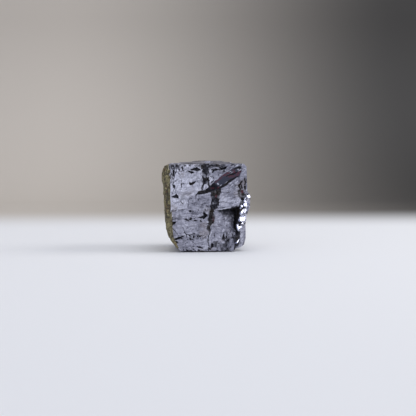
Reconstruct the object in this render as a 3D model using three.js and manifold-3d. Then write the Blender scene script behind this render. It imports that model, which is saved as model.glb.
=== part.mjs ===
// A small block of galena with stepped cubic cleavage, and a thin rind of matrix on its left side.
// Millimetres, +Z up. The front cleavage face looks along -Y, and the origin is at the centre of the foot.
import * as THREE from "three";
import { ConvexGeometry } from "three/addons/geometries/ConvexGeometry.js";
import { mergeVertices } from "three/addons/utils/BufferGeometryUtils.js";
import Module from "manifold-3d";

const wasm = await Module();
wasm.setup();

// Driving dimensions
const WIDTH = 24; // over the rind and the broken right edge
const DEPTH = 20;
const HEIGHT = 24.5; // at the mound on top
const FRONT = -DEPTH / 2; // y of the front cleavage face
const BACK = DEPTH / 2;
const RIGHT = WIDTH / 2;
const SHOULDER = 23.6; // z of the top's front edge
const UPPER_RIGHT = 11; // x of the right side above its bulge
const PAST = 1; // how far a cutter starts outside the face that it cuts
const RIND_GAP = 0.3; // between the crystal and the rind
const RIND_THINNEST = 0.35;
const RIND_ROWS = 22;
const RIND_COLUMNS = 18;

// ---- Solids from three.js geometry ----

function solidOf(geometry) {
  const flat = geometry.index ? geometry.toNonIndexed() : geometry;
  const bare = new THREE.BufferGeometry().setAttribute("position", flat.getAttribute("position"));
  const merged = mergeVertices(bare, 1e-4);
  const mesh = new wasm.Mesh({
    numProp: 3,
    vertProperties: merged.getAttribute("position").array,
    triVerts: new Uint32Array(merged.index.array),
  });
  return new wasm.Manifold(mesh);
}

function geometryOf(solid) {
  const mesh = solid.getMesh();
  return new THREE.BufferGeometry()
    .setAttribute("position", new THREE.BufferAttribute(mesh.vertProperties, 3))
    .setIndex(new THREE.BufferAttribute(mesh.triVerts, 1));
}

function hull(points) {
  return solidOf(new ConvexGeometry(points.map((p) => new THREE.Vector3(...p))));
}

// An outline of [x, z] points pushed from y = from to y = to.
function alongY(outline, from, to) {
  const shape = new THREE.Shape(outline.map(([x, z]) => new THREE.Vector2(x, z)));
  const made = new THREE.ExtrudeGeometry(shape, { depth: to - from, bevelEnabled: false });
  return solidOf(made.rotateX(Math.PI / 2).translate(0, to, 0));
}

// An outline of [y, z] points pushed over the whole width.
function alongX(outline) {
  const shape = new THREE.Shape(outline.map(([y, z]) => new THREE.Vector2(-y, z)));
  const made = new THREE.ExtrudeGeometry(shape, { depth: WIDTH, bevelEnabled: false });
  return solidOf(made.rotateX(Math.PI / 2).rotateZ(-Math.PI / 2).translate(RIGHT, 0, 0));
}

// An outline of [x, y] points pushed from the foot to the top.
function alongZ(outline) {
  const shape = new THREE.Shape(outline.map(([x, y]) => new THREE.Vector2(x, y)));
  return solidOf(new THREE.ExtrudeGeometry(shape, { depth: HEIGHT, bevelEnabled: false }));
}

// A box between two corners, turned by angles in degrees about its own centre.
function block(low, high, turn = [0, 0, 0]) {
  const size = high.map((v, i) => v - low[i]);
  const centre = high.map((v, i) => (v + low[i]) / 2);
  const made = new THREE.BoxGeometry(...size);
  made.rotateX(THREE.MathUtils.degToRad(turn[0]));
  made.rotateY(THREE.MathUtils.degToRad(turn[1]));
  made.rotateZ(THREE.MathUtils.degToRad(turn[2]));
  return solidOf(made.translate(...centre));
}

// The value at z of a line through [z, value] points that run upwards.
function along(line, z) {
  const last = line.length - 1;
  if (z <= line[0][0]) return line[0][1];
  if (z >= line[last][0]) return line[last][1];
  const i = line.findIndex(([at]) => at > z);
  const [[z0, v0], [z1, v1]] = [line[i - 1], line[i]];
  return v0 + ((v1 - v0) * (z - z0)) / (z1 - z0);
}

// ---- The crystal mass ----

// The left side of the crystal, as [z, x].
const LEFT_SIDE = [
  [0, -6.9],
  [0.3, -7.4],
  [0.9, -7.95],
  [2, -8.5],
  [3.2, -9.1],
  [4.1, -9.45],
  [5.1, -9.65],
  [7.4, -9.85],
  [10.9, -10],
  [20, -10.1],
  [23.3, -10.5],
];

// The top and the right side, downwards to the foot, as [x, z]: first near the front, then behind it.
const TOP = [
  [-9.6, 23.7],
  [-4, 24],
  [-1, HEIGHT],
  [3.4, HEIGHT],
  [5.2, 24],
  [10.2, 23.75],
];
const RIGHT_SIDE_FRONT = [
  [10.8, 23.2],
  [UPPER_RIGHT, 16.4],
  [11.6, 15.8],
  [RIGHT, 14.9],
  [RIGHT, 11.9],
  [11.5, 10.9],
  [10.9, 9.2],
  [10.8, 7.5],
  [10.85, 3.6],
  [10.4, 1.8],
  [9.5, 1.1],
  [8.1, 0.9],
  [6.6, 0],
];
const RIGHT_SIDE_BEHIND = [
  [11.4, 23],
  [11.5, 9.4],
  [10.7, 8.5],
  [10.6, 2.7],
  [9.6, 1.2],
  [8.4, 0],
];
const BEHIND = -3.9; // y where the side's front stretch ends

function roughBlock() {
  const left = LEFT_SIDE.map(([z, x]) => [x, z]);
  const slab = (rightSide, from, to) => alongY([...left, ...TOP, ...rightSide], from, to);
  const bulk = slab(RIGHT_SIDE_FRONT, FRONT, BEHIND).add(slab(RIGHT_SIDE_BEHIND, BEHIND - 1, BACK));
  const side = alongX([
    [FRONT + 0.5, 0],
    [8.4, 0],
    [9.4, 1.4],
    [BACK, 4.2],
    [BACK, 19.8],
    [9.3, 22.4],
    [7.6, 23.5],
    [4.2, HEIGHT],
    [-3.6, HEIGHT],
    [-7.4, 23.9],
    [FRONT, SHOULDER],
    [FRONT, 0.4],
  ]);
  const plan = alongZ([
    [-10.5, FRONT],
    [UPPER_RIGHT, FRONT],
    [RIGHT, -8.4],
    [RIGHT, 6.4],
    [11.1, 9.1],
    [9.4, BACK],
    [-8.2, BACK],
    [-9.9, 8.8],
    [-10.5, 6.2],
  ]);
  return bulk.intersect(side).intersect(plan);
}

// Cleavage levels a little behind the front face, as [outline, depth].
const FRONT_LEVELS = [
  [[[-11, 9.4], [-6.4, 8.9], [-4.9, 9.3], [-2.3, 9.5], [1, 11.3], [1, -1], [-11, -1]], 0.16],
  [[[-5, 12.6], [-5, 14.4], [-3, 15.8], [1.1, 16.6], [2, 12], [-1.6, 12.2]], 0.12],
  [[[0.2, 25], [0.4, 19], [2.4, 16.4], [2.2, 11.8], [12, 12], [12, 25]], 0.22],
  [[[-11, 23.1], [-7.6, 23], [-6.2, 22.6], [-5.9, 25], [-11, 25]], 0.3],
  [[[6.4, 22.4], [9.6, 22.5], [10.2, 21.2], [12, 21.2], [12, 25], [6.4, 25]], 0.42],
];

// The long diagonal groove: a smooth dark blade's cast, and the ragged tail below it.
const GROOVE = [
  [
    [[1.3, 16.7], [4.6, 17.7], [8.2, 20.1], [9.3, 21.6], [9.6, 22.6], [9.3, 23.4], [7.4, 22.9], [1, 18.2]],
    0.55,
  ],
  [[[-3, 15.6], [-0.6, 15.8], [1.6, 16.7], [1.4, 18.4], [-0.3, 17], [-2.3, 16.4]], 0.9],
];

// The seam where two cubes met, top to foot, as [x, z, half width, depth].
const SEAM = [
  [-0.4, 25, 1, 0.8],
  [-0.4, 20.6, 0.85, 0.8],
  [-0.1, 19, 0.6, 0.6],
  [1.4, 17.3, 0.8, 0.7],
  [2.6, 16.2, 1.3, 0.8],
  [2.3, 13.6, 1.2, 0.8],
  [1.6, 11.8, 0.7, 0.8],
  [1.3, 9.6, 0.8, 0.9],
  [1.1, 8.2, 0.7, 0.8],
  [0.5, 6.9, 0.3, 0.5],
  [0.5, -1, 0.25, 0.4],
];

// Wedge-shaped pits in the front face: three corners [x, z], where the pit is deepest, and how deep.
const PITS = [
  [[-4.4, 22.15], [-1.7, 22.15], [-2.5, 23], [-2.6, 22.3], 0.7],
  [[-5.2, 22], [-3.6, 21.9], [-3.9, 21.4], [-4.1, 21.7], 0.5],
  [[-4.8, 18.2], [-2.9, 19.1], [-3.8, 18.1], [-4.2, 18.4], 0.6],
  [[-9.3, 14.8], [-7.6, 14.6], [-8.3, 15.7], [-8.1, 15], 0.7],
  [[-2.3, 9.7], [0.1, 10.1], [-0.8, 8.9], [-0.9, 9.6], 0.8],
  [[-0.9, 9.7], [0.2, 10], [-0.4, 11], [-0.3, 10.1], 0.7],
  [[-9.9, 8.5], [-8.5, 8.4], [-9.6, 7.4], [-9.3, 8.1], 0.7],
  [[-8.7, 3.4], [-8.2, 3.9], [-6.2, 4.4], [-7.6, 3.9], 0.5],
  [[3.6, 22.1], [6.2, 22.7], [5, 22.2], [5, 22.3], 0.5],
  [[9.2, 19.1], [9.7, 17], [10, 18.6], [9.6, 18.2], 0.6],
];

function pit([a, b, c, deepest, depth]) {
  const rim = [a, b, c].map(([x, z]) => [x, FRONT - PAST / 2, z]);
  const inner = [a, b, c].map(([x, z]) => [x, FRONT + 0.1, z]);
  return hull([...rim, ...inner, [deepest[0], FRONT + depth, deepest[1]]]);
}

function seamGroove([x0, z0, w0, d0], [x1, z1, w1, d1]) {
  const ring = (x, z, w, d) => [
    [x - w, FRONT - PAST / 2, z],
    [x + w, FRONT - PAST / 2, z],
    [x - w / 2, FRONT + d / 2, z],
    [x + w / 2, FRONT + d / 2, z],
    [x, FRONT + d, z],
  ];
  return hull([...ring(x0, z0, w0, d0), ...ring(x1, z1, w1, d1)]);
}

// The broken lower right quarter: a hollow under a ledge, deepest along a trough near its right.
function quarterHollow() {
  const [ledge, low] = [11.9, -PAST];
  return hull([
    [2.1, FRONT - PAST, ledge],
    [9.2, FRONT - PAST, ledge + 0.4],
    [7.2, FRONT - PAST, low],
    [1.6, FRONT - PAST, low],
    [2.3, FRONT + 0.5, ledge],
    [7.9, FRONT + 2.4, ledge + 0.3],
    [8.6, FRONT + 2.2, ledge + 0.3],
    [9.1, FRONT + 0.5, ledge + 0.4],
    [1.9, FRONT + 0.4, low],
    [5.8, FRONT + 1.1, low],
    [7.1, FRONT + 0.5, low],
  ]);
}

// The broken front right edge: a flight of small cleavage steps that climbs to the right.
// Each is a cut: its z from and to, the x where it meets the front, its turn about Z, and its tilt.
const EDGE_STEPS = [
  { low: 13.9, high: 15.9, x: 10.6, turn: 42, tilt: 12 },
  { low: 12.2, high: 14.1, x: 9.9, turn: 30, tilt: -10 },
  { low: 10.3, high: 12.4, x: 9.3, turn: 46, tilt: 8 },
  { low: 8.2, high: 10.5, x: 9, turn: 38, tilt: 14 },
  { low: 6.3, high: 8.4, x: 8.5, turn: 50, tilt: -8 },
  { low: 4.3, high: 6.5, x: 8.5, turn: 34, tilt: 10 },
  { low: 2.4, high: 4.5, x: 8, turn: 44, tilt: 4 },
  { low: -1, high: 2.6, x: 7.6, turn: 54, tilt: -12 },
];

function edgeStep({ low, high, x, turn, tilt }) {
  const [REACH, ACROSS, IN] = [8, 0.6, 0.5]; // the cutter's size, and where its inner side's middle is
  const made = new THREE.BoxGeometry(REACH, REACH, high - low);
  made.translate(0, -REACH / 2, 0);
  made.rotateX(THREE.MathUtils.degToRad(tilt));
  made.rotateZ(THREE.MathUtils.degToRad(turn));
  return solidOf(made.translate(x + ACROSS, FRONT + IN, (low + high) / 2));
}

// Cleavage steps on the right side, the top, the back and the foot's edges, as box cuts.
const SIDE_CUTS = [
  // The right side, from the front to the back
  [[11, -5.2, 16.6], [13, 2.6, 26], [0, 0, 0]],
  [[10.5, 2.4, 12.4], [13, 11, 26], [0, 0, 1.5]],
  [[11.1, -2, 10], [13, 2.8, 17.4], [0, 0, 0]],
  [[11.2, -0.6, 5.8], [13, 1.9, 10.4], [0, 0, 1]],
  [[10.3, -4.4, -1], [13, 0.4, 5.6], [0, 0, -1]],
  [[9.9, 1.6, -1], [13, 11, 7.6], [0, 0, 1]],
  [[9.7, 6.4, 6.8], [13, 11, 12.8], [0, 0, 0]],
  [[9.3, 5.4, -1], [13, 11, 3.6], [0, 0, 2]],
  // The top
  [[-12, -11, 23.75], [-5.4, -4.6, 26], [0, 1, 0]],
  [[5.4, -11, 23.9], [13, -5.2, 26], [0, 0, 0]],
  [[7.4, -5.4, 23.2], [13, 3.6, 26], [1, 0, 0]],
  [[4.2, 2.2, 23.5], [13, 11, 26], [0, 1, 0]],
  [[-12, -4.8, 23.3], [-7.2, 2.6, 26], [0, 0, 0]],
  [[-12, 2.4, 22.6], [-3.4, 11, 26], [0, 0, 2]],
  [[-3.6, 5.2, 23.2], [4.4, 11, 26], [1, 0, 0]],
  [[-0.6, -7.4, 24.1], [1.4, -2.6, 26], [0, 0, 0]],
  [[-3.9, -3, 24.2], [-1.2, 3.4, 26], [0, 0, 0]],
  // The back
  [[-12, 9.4, 14.6], [-5.6, 11, 26], [0, 0, 0]],
  [[-5.8, 9.6, 18.4], [1.6, 11, 26], [0, 0, 0]],
  [[-12, 8.6, -1], [-6.4, 11, 9.4], [0, 0, 1]],
  [[-6.6, 9.3, -1], [-1.2, 11, 6.6], [0, 0, 0]],
  [[3.2, 9.1, -1], [13, 11, 11.4], [0, 0, -1]],
  [[5.8, 8.3, -1], [13, 11, 7.2], [0, 0, 0]],
  [[6.4, 8.9, 15.2], [13, 11, 26], [0, 0, -2]],
  [[-2.4, 9.7, 9.8], [2.2, 11, 14.2], [0, 0, 0]],
  // The foot's left and back edges
  [[-12, -11, -1], [-7.6, -7, 1.1], [0, 24, 0]],
  [[-12, 4.6, -1], [-6.8, 11, 1.9], [0, 12, 0]],
  [[2.4, 7.2, -1], [13, 11, 1.3], [0, 0, 0]],
];

function crystalMass() {
  const cuts = [
    ...FRONT_LEVELS.map(([outline, depth]) => alongY(outline, FRONT - PAST, FRONT + depth)),
    ...GROOVE.map(([outline, depth]) => alongY(outline, FRONT - PAST, FRONT + depth)),
    ...SEAM.slice(1).map((point, i) => seamGroove(SEAM[i], point)),
    ...PITS.map(pit),
    quarterHollow(),
    ...EDGE_STEPS.map(edgeStep),
    ...SIDE_CUTS.map(([low, high, turn]) => block(low, high, turn)),
  ];
  const bodies = cuts.reduce((left, cut) => left.subtract(cut), roughBlock()).decompose();
  return bodies.sort((a, b) => b.volume() - a.volume())[0]; // loose slivers fall away
}

// ---- The rind of matrix ----

// Its outer side, as [z, x].
const RIND_SIDE = [
  [2, -9.1],
  [3.4, -9.8],
  [4.7, -10.3],
  [6.5, -10.75],
  [9, -11],
  [12.8, -11.2],
  [18.4, -11.45],
  [19.8, -11.85],
  [20.7, -RIGHT],
  [21.8, -11.7],
  [23.2, -11.3],
];

// A lumpy layer: a box whose inner side follows the crystal and whose outer side swells and thins to its rim.
function rind() {
  const [low, high, front, back] = [2, 23, FRONT + 0.35, 6];
  const made = new THREE.BoxGeometry(2, back - front, high - low, 1, RIND_COLUMNS, RIND_ROWS);
  made.translate(0, (front + back) / 2, (low + high) / 2);
  const place = made.getAttribute("position");
  for (let i = 0; i < place.count; i++) {
    const [x, y, z] = [place.getX(i), place.getY(i), place.getZ(i)];
    const inner = along(LEFT_SIDE, z) - RIND_GAP;
    const acrossBack = THREE.MathUtils.smoothstep(back - y, -1, 6);
    const lumps = 0.12 * Math.sin(1.9 * y + 0.7 * z) * Math.sin(1.3 * z - 0.8 * y);
    const atFront = THREE.MathUtils.smoothstep(y - front, 0, 2);
    const thick = (inner - along(RIND_SIDE, z)) * acrossBack + lumps * atFront;
    place.setX(i, x > 0 ? inner : Math.max(inner - Math.max(thick, RIND_THINNEST), -RIGHT));
  }
  return made;
}

// ---- The specimen ----

const galena = new THREE.Mesh(
  geometryOf(crystalMass()),
  new THREE.MeshStandardMaterial({ color: 0x8a8c9c, roughness: 0.38, metalness: 0.9 }),
);
galena.name = "galena";

const matrixRind = new THREE.Mesh(
  rind(),
  new THREE.MeshStandardMaterial({ color: 0x5a5440, roughness: 0.85, metalness: 0 }),
);
matrixRind.name = "matrix_rind";

const specimen = new THREE.Group();
specimen.add(galena, matrixRind);

export default specimen;
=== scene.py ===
"""The looks of a small galena block with stepped cubic cleavage, and of the matrix rind on its left side.

Shapes are worked out in millimetres, in the CAD model's frame: +Z up, and the front cleavage face looks
along -Y. The crystal is what seven reliefs have in common: one for each side of the cube, and one for its
broken front right edge.
"""

import math

import bpy
import numpy as np
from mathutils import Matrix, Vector


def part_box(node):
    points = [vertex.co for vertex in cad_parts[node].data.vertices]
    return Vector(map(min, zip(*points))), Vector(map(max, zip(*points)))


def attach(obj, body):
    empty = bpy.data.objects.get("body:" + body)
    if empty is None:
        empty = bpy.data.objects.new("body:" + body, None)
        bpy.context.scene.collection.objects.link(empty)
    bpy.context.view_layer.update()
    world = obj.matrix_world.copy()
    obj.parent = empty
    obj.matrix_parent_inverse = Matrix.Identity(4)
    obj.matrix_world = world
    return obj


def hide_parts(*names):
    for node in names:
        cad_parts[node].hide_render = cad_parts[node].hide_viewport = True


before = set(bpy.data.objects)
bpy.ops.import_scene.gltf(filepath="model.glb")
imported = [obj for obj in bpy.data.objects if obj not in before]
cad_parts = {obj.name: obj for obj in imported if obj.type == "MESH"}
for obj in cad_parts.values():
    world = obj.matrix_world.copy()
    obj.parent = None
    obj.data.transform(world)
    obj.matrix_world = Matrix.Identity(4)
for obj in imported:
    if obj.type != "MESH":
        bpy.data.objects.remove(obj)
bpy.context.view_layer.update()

MM = 0.001
CRYSTAL_LOW, CRYSTAL_HIGH = (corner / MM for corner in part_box("galena"))
RIND_LOW, RIND_HIGH = (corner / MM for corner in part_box("matrix_rind"))
FRONT = CRYSTAL_LOW.y
TOP = CRYSTAL_HIGH.z
SPARE = Vector((0.6, 0.6, 0.6))  # how far a relief runs past the crystal's box


# ---- Noise and flat shapes, for arrays of points ----

TABLE = 64  # the noise repeats after so many cells


def smooth(t):
    return t * t * (3 - 2 * t)


def ramp(value, low, high):
    """0 below low, 1 above high, and smooth between them."""
    return smooth(np.clip((value - low) / (high - low), 0, 1))


def noise(u, v, cell, seed):
    """Smooth noise from -1 to 1, with lumps as wide as cell."""
    table = np.random.default_rng(seed).uniform(-1, 1, (TABLE, TABLE))
    s, t = u / cell + 10 * TABLE, v / cell + 10 * TABLE
    i, j = np.floor(s).astype(int), np.floor(t).astype(int)
    f, g = smooth(s - i), smooth(t - j)

    def at(a, b):
        return table[a % TABLE, b % TABLE]

    low = at(i, j) * (1 - f) + at(i + 1, j) * f
    high = at(i, j + 1) * (1 - f) + at(i + 1, j + 1) * f
    return low * (1 - g) + high * g


def fractal(u, v, cell, seed, octaves=4, gain=0.55):
    """Noise with finer noise on it, from about -1 to 1."""
    total, share = 0, 1
    for k in range(octaves):
        total = total + share * noise(u, v, cell / 2**k, seed + k)
        share *= gain
    return total


def reach_inside(u, v, outline):
    """How far each point is inside a closed outline. It is negative outside."""
    near = np.full(u.shape, np.inf)
    inside = np.zeros(u.shape, bool)
    for (u0, v0), (u1, v1) in zip(outline, outline[1:] + outline[:1]):
        du, dv = u1 - u0, v1 - v0
        t = np.clip(((u - u0) * du + (v - v0) * dv) / (du * du + dv * dv), 0, 1)
        near = np.minimum(near, np.hypot(u - u0 - t * du, v - v0 - t * dv))
        if dv:
            inside ^= ((v0 > v) != (v1 > v)) & (u < u0 + (v - v0) * du / dv)
    return np.where(inside, near, -near)


def path_reach(u, v, path):
    """How far inside a line of changing half width each point is. The path is [u, v, half width] points."""
    best = np.full(u.shape, -np.inf)
    for (u0, v0, w0), (u1, v1, w1) in zip(path, path[1:]):
        du, dv = u1 - u0, v1 - v0
        t = np.clip(((u - u0) * du + (v - v0) * dv) / (du * du + dv * dv), 0, 1)
        away = np.hypot(u - u0 - t * du, v - v0 - t * dv)
        best = np.maximum(best, w0 + (w1 - w0) * t - away)
    return best


WIDEST_AT = 0.3  # where a stroke is widest, from -1 to 1 along it


def strokes(u, v, seed, groups):
    """How far inside the nearest of many short strokes each point is.

    A group is [u from, u to, v from, v to, how many, angle, its spread, longest, widest].
    """
    rng = np.random.default_rng(seed)
    reach = np.full(u.shape, -1.0)
    for u0, u1, v0, v1, count, angle, spread, longest, widest in groups:
        for _ in range(count):
            at_u, at_v = rng.uniform(u0, u1), rng.uniform(v0, v1)
            turn = math.radians(angle + rng.uniform(-spread, spread))
            half, wide = longest * rng.uniform(0.25, 0.5), widest * rng.uniform(0.25, 0.5)
            du, dv = half * math.cos(turn), half * math.sin(turn)
            stops = ((-1, 0), (WIDEST_AT, wide), (1, 0))
            path = [[at_u + share * du, at_v + share * dv, half_width] for share, half_width in stops]
            near = (np.abs(u - at_u) < half + 0.4) & (np.abs(v - at_v) < half + 0.4)
            reach[near] = np.maximum(reach[near], path_reach(u[near], v[near], path))
    return reach


def ragged(u, v, seed, coarse=0.16, fine=0.07):
    """The points moved a little, so that what is drawn with them has broken edges."""
    du = coarse * noise(u, v, 0.9, seed) + fine * noise(u, v, 0.3, seed + 1)
    dv = coarse * noise(u, v, 0.9, seed + 2) + fine * noise(u, v, 0.3, seed + 3)
    return u + du, v + dv


# ---- Cleavage ----


LEVELS = 2.2  # how finely an edge's wander is stepped
JOG = 2.4  # how long its straight stretches are
OVERRUN = 9  # how far a terrace goes past a border
CUT_SLOPE = 0.04


def zigzag(along, seed, size):
    """An edge's wander: a few right-angled steps, as broken cubes have."""
    return size * np.round(LEVELS * noise(along, 0 * along, JOG, seed)) / LEVELS


def terraces(u, v, box, seed, count, deepest):
    """Flat terraces that step down to the borders of a side, with edges along the cube's axes.

    It gives how deep they are, and a value from -1 to 1 for each.
    """
    rng = np.random.default_rng(seed)
    depth, tint = np.zeros(u.shape), np.zeros(u.shape)
    for k in range(count):
        inside, small = True, 1.0
        borders = rng.permutation([1, rng.integers(0, 2)])  # which ways it runs out to a border
        for (low, high), at, across, runs_out in zip(box, (u, v), (v, u), borders):
            wide = (high - low) * rng.uniform(0.06, 0.5)
            start = low - OVERRUN if rng.random() < 0.5 else high - wide
            end = start + wide + OVERRUN
            if not runs_out:
                start = rng.uniform(low, high - wide)
                end = start + wide * 1.3
            wander = zigzag(across, seed + 9 * k + runs_out, 0.16)
            inside = inside & (at > start + wander) & (at < end + wander)
            small *= 1.1 - wide / (high - low)
        level = deepest * rng.uniform(0.15, 1) ** 1.4 * small
        depth = np.maximum(depth, np.where(inside, level, 0))
        tint = np.where(inside, rng.uniform(-1, 1), tint)
    return depth, tint


def cut_levels(u, v, level, cuts, seed):
    """Lowers a side to the level of each cut, inside its stepped outline.

    A cut is [u from, u to, v from, v to, level].
    """
    for k, (u0, u1, v0, v1, cut) in enumerate(cuts):
        a, b = u + zigzag(v, seed + 4 * k, 0.5), v + zigzag(u, seed + 4 * k + 2, 0.5)
        inside = (a > u0) & (a < u1) & (b > v0) & (b < v1)
        level = np.where(inside, np.minimum(level, cut + CUT_SLOPE * (a - u0)), level)
    return level


# ---- The front face, in x and z ----

SEAM = [  # where two cubes met: stretches of x, z and half width
    [[-0.4, 24.6, 0.95], [-0.4, 22.6, 1], [-0.45, 20.6, 0.85], [-0.4, 19.1, 0.75]],
    [[-1.15, 19.2, 0.2], [-1.15, 16.9, 0.22]],
    [[0.4, 19.6, 0.3], [0.45, 18.4, 0.25], [1, 17.8, 0.4], [1.8, 17.3, 0.6]],
    [[2.4, 17, 1], [2.6, 16.2, 1.35], [2.3, 15.2, 1.3], [2.3, 13.6, 1.2], [2.2, 12.6, 1],
     [1.6, 11.8, 0.7]],
    [[1.4, 11.9, 0.5], [1.1, 11, 0.5], [1.3, 9.6, 0.8], [1.1, 8.2, 0.7], [0.5, 6.9, 0.3],
     [0.55, 5.2, 0.2]],
    [[0.55, 5.2, 0.2], [0.3, 3.6, 0.13], [0.5, 0, 0.13]],
]
BLADE = [  # the dark smooth cast of a bladed crystal
    [1.4, 16.8], [2.9, 17.1], [4.6, 17.7], [6.3, 18.95], [8.1, 20.1], [8.8, 20.4], [9.3, 21.6],
    [9.6, 22.6], [9.3, 23.45], [8.6, 23.4], [7.4, 22.9], [6, 21.95], [4.7, 21.4], [3.8, 20.5], [2, 19.2],
    [1, 18.2],
]
BLADE_MARKS = [  # sooty patches in the cast
    [[5.2, 20.6], [6.6, 21.3], [8.4, 22], [8.85, 21.8], [7.2, 21], [6.1, 20.7], [5.3, 20.4]],
    [[7.2, 22.6], [8.1, 23.1], [9.1, 23.4], [9.4, 23.1], [8.9, 22.6], [8.2, 22.8], [7.5, 22.4]],
    [[8, 20.6], [8.7, 20.6], [6.4, 18.9], [4.6, 17.6], [3.1, 17.1], [2.9, 17.7], [4.2, 18.2], [6, 19.5]],
    [[0.8, 17.1], [1.6, 16.8], [2.7, 17.3], [2.6, 18.3], [1.9, 18.9], [1, 18]],
]
STAINS = [  # iron stain, in and by the cast, in the eye and in the seam
    [[2.1, 19.1], [4.8, 21.3], [6.1, 21.8], [6.3, 21.3], [4.9, 20.7], [2.4, 18.9]],
    [[6.7, 21.8], [7, 22.4], [7.6, 22.5], [7.8, 21.7], [7, 21.4]],
    [[7.8, 21.2], [8.3, 21.6], [9.1, 22.4], [9.4, 21.8], [8.8, 20.9], [8, 20.7]],
    [[5.5, 20.5], [6.4, 20.8], [7.6, 20.9], [8, 20.5], [6.7, 20.1], [5.8, 20.2]],
    [[0.9, 17.3], [1.7, 17.8], [2.1, 17.3], [1.3, 16.9]],
    [[2.5, 17.4], [3.4, 17.9], [3.2, 17.4], [2.7, 17.2]],
    [[9.15, 16.9], [9.95, 16.9], [9.9, 16], [9.25, 15.9]], [[1.6, 9.7], [2, 9.5], [2, 8.4], [1.7, 8.2]],
    [[2.3, 15.6], [2.9, 15.6], [2.8, 15], [2.4, 14.8]],
]
TAIL = [  # the ragged pit that the blade runs out in
    [-3.2, 15.5], [-2.4, 16.4], [-1.2, 16.75], [-0.3, 16.9], [0.5, 17.6], [1.4, 18.5], [2.4, 17.6],
    [1.8, 16.6], [0.5, 16.2], [-0.4, 15.75], [-1.8, 15.65],
]
LEDGE = [[2.2, 11.45], [4.2, 11.7], [6.9, 11.95], [9.1, 12.25]]  # the upper edge of the hollow
HOLLOW = [  # the broken lower right quarter
    *LEDGE, [8.9, 10], [8.4, 8.3], [8.1, 7.4], [8.3, 5.9], [8.8, 5.4], [8.3, 4], [7.4, -1], [0.9, -1],
    [1.1, 5], [1.5, 8.6],
]
BRIGHT_ZONE = [  # the foremost and cleanest cleavage plane
    [-11.5, 25], [-11.5, 11.7], [-9, 11.4], [-5.2, 11.8], [-5, 14.4], [-3, 15.7], [-0.9, 17.2], [-1, 25],
]
LOWER_ZONE = [  # a plane a little behind it, below the long crack
    [-11.5, 9.3], [-9.9, 9.3], [-7.1, 9.1], [-4.2, 8.9], [-2.2, 9.5], [1.2, 9.9], [1.2, -1], [-11.5, -1],
]
RIGHT_ZONE = [[2.6, 24.6], [2.4, 18], [3, 11.5], [12.5, 12.2], [12.5, 24.6]]
SHELVES = [  # planes far behind the front, by its broken right edge: outline and depth
    [[[9, 6], [9.7, 7.4], [10.1, 8.4], [12.8, 8.4], [12.8, -1], [7.6, -1], [7.7, 1.2], [8.9, 1.7],
     [9.3, 3.7]], 1.9],
    [[[11, 9.9], [10.9, 13.2], [11.8, 14.2], [12.8, 14.3], [12.8, 9.9]], 2.3],
]
PITS = [  # outline and depth
    [[[-4.4, 22.25], [-3.6, 22.8], [-2.6, 23.05], [-1.8, 22.3], [-2.8, 22.05], [-3.6, 22.25]], 0.6],
    [[[-5.2, 22.05], [-4.2, 21.8], [-3.6, 21.85], [-4.1, 21.4], [-4.7, 21.6]], 0.4],
    [[[-4.7, 19], [-4.1, 18.9], [-3.1, 19.15], [-3.4, 18.7], [-4.1, 18.25], [-4.6, 18.3]], 0.5],
    [[[-9.4, 15.1], [-8.7, 15.4], [-8.3, 15.85], [-7.75, 15.4], [-7.75, 14.65], [-8.4, 14.85]], 0.6],
    [[[-2.2, 9.4], [-1.4, 9.8], [-0.8, 9.9], [0.2, 9.9], [-0.3, 9.6], [-0.8, 9], [-1.3, 9.3]], 0.6],
    [[[-1, 9.9], [-0.9, 10.4], [-0.65, 11], [-0.25, 10.5], [0.1, 9.9]], 0.55],
    [[[-9.95, 8.35], [-8.4, 8.35], [-8.7, 7.95], [-9.3, 7.6], [-9.5, 7.1], [-9.85, 7.6]], 0.6],
    [[[-8.7, 3.5], [-8.2, 3.9], [-6.2, 4.4], [-7.5, 3.7], [-8.4, 3.3]], 0.5],
    [[[-8.9, 2.9], [-8.2, 3], [-7.9, 2.7], [-8.5, 2.4]], 0.4],
    [[[-4.8, 11.1], [-4.5, 11.45], [-4.15, 11.3], [-4.6, 10.9]], 0.35],
    [[[-3.6, 8.6], [-3.1, 8.75], [-2.7, 8.5], [-3.1, 8.4]], 0.3],
    [[[-6.1, 9.1], [-5.6, 9.3], [-5.2, 8.9], [-4.8, 8.5], [-5.6, 8.7]], 0.08],
    [[[-4.7, 9.1], [-4.3, 9.5], [-4, 9.1], [-4.3, 8.8]], 0.1],
    [[[-4.75, 3.8], [-4.45, 3.8], [-4.4, 3.4], [-4.7, 3.4]], 0.35],
    [[[-3.7, 4.5], [-3.45, 4.5], [-3.5, 4.1], [-3.7, 4.1]], 0.3],
    [[[-2.5, 4.5], [-2.2, 4.6], [-2.3, 4.1], [-2.5, 4.2]], 0.3],
    [[[3.3, 22.5], [4.3, 23], [5.5, 23.2], [4.9, 22.6], [3.9, 22.3]], 0.45],
    [[[1.2, 22.3], [2.4, 22.6], [3.2, 22.35], [2.2, 22.1]], 0.35],
    [[[9.5, 14.9], [10.1, 14.6], [9.9, 14.1], [9.4, 14.3]], 0.6],
    [[[-10.4, 22.4], [-9.9, 22.5], [-9.9, 21.7], [-10.3, 21.6]], 0.35],
    [[[-9.05, 22.3], [-8.7, 22.3], [-8.75, 20.7], [-9, 20.7]], 0.35],
    [[[-9.2, 18.3], [-8.7, 18.4], [-8.6, 17.7], [-9.1, 17.7]], 0.3],
    [[[-2.6, 1.6], [-1.9, 1.5], [-1.1, 1.1], [-1.9, 1.1]], 0.3],
    [[[4.3, 4], [4.6, 5], [4.85, 3.9], [4.6, 3.6]], 0.35],
    [[[1.3, 2.3], [1.7, 2.4], [1.8, 1.4], [1.4, 1.3]], 0.35],
]
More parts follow.
